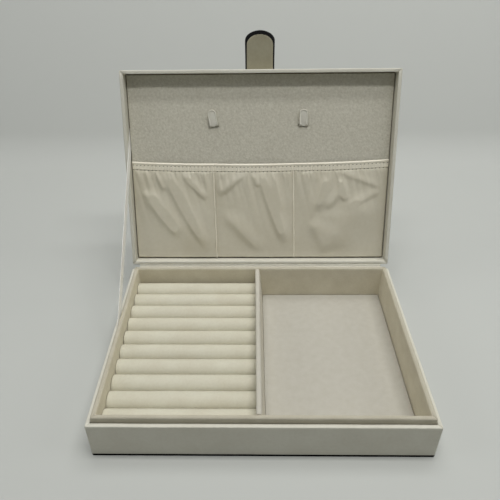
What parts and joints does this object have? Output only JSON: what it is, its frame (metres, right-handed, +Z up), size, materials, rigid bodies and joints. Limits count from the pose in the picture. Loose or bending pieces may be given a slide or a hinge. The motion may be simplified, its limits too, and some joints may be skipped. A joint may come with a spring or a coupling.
{
  "type": "jewelry box",
  "caption": "Flat rectangular jewelry box with a hinged lid, a row of soft ring rolls beside an open tray, a pocketed lid lining with necklace hooks, and a folding magnetic tab.",
  "frame": {"origin": "centre of the underside, on the surface that the box stands on", "axes": "+Z up, front of the box at -Y, +X to the right seen from the front"},
  "size_m": [0.25, 0.2667, 0.2363],
  "materials": {
    "leatherette": "smooth cream leatherette",
    "fibreboard": "raw board",
    "card": "raw card",
    "black_cover": "matt black flock",
    "tray_velvet": "short-pile velvet",
    "divider_cloth": "smooth pale cloth",
    "roll_velvet": "ivory velvet over foam",
    "foam": "foam",
    "suede": "suede cloth",
    "pocket_satin": "gathered satin",
    "elastic": "flat elastic",
    "hook_cloth": "suede cloth",
    "tab_black": "smooth black leatherette",
    "tab_cream": "smooth cream leatherette",
    "steel": "nickel-plated",
    "ribbon": "satin ribbon"
  },
  "bodies": {
    "base": {"base_back_board": "fibreboard", "base_bottom_board": "fibreboard", "base_front_board": "fibreboard", "base_left_board": "fibreboard", "base_right_board": "fibreboard", "base_wrap": "leatherette", "bottom_cover": "black_cover", "closure_plate": "steel", "divider_board": "card", "divider_cover": "divider_cloth", "floor_card": "card", "floor_velvet": "tray_velvet", "hinge_strip_base": "leatherette", "ring_roll_01": "roll_velvet", "ring_roll_02": "roll_velvet", "ring_roll_03": "roll_velvet", "ring_roll_04": "roll_velvet", "ring_roll_05": "roll_velvet", "ring_roll_06": "roll_velvet", "ring_roll_07": "roll_velvet", "ring_roll_08": "roll_velvet", "ring_roll_09": "roll_velvet", "ring_roll_10": "roll_velvet", "roll_bed": "foam", "stay_ribbon": "ribbon", "tray_back_board": "card", "tray_front_board": "card", "tray_left_board": "card", "tray_lining": "tray_velvet", "tray_right_board": "card"},
    "lid": {"hinge_strip_lid": "leatherette", "lid_back_board": "fibreboard", "lid_front_board": "fibreboard", "lid_left_board": "fibreboard", "lid_panel_board": "card", "lid_panel_suede": "suede", "lid_right_board": "fibreboard", "lid_top_board": "fibreboard", "lid_wrap": "leatherette", "necklace_hook_left": "hook_cloth", "necklace_hook_right": "hook_cloth", "pocket_cloth": "pocket_satin", "pocket_elastic": "elastic", "pocket_hem": "pocket_satin", "pocket_seam_left": "pocket_satin", "pocket_seam_right": "pocket_satin", "tab_anchor": "tab_black"},
    "closing_tab": {"tab_lining": "tab_cream", "tab_magnet": "steel", "tab_outer": "tab_black"}
  },
  "joints": [
    {"name": "lid_hinge", "type": "hinge", "parent": "base", "child": "lid", "pos_m": [0, 0.0933, 0.03375], "axis": [1, 0, 0], "range_deg": [0, 107.5], "deforming": ["stay_ribbon"]},
    {"name": "tab_fold", "type": "hinge", "parent": "lid", "child": "closing_tab", "pos_m": [0, 0.16383, 0.20507], "axis": [1, 0, 0], "range_deg": [0, 90]}
  ]
}
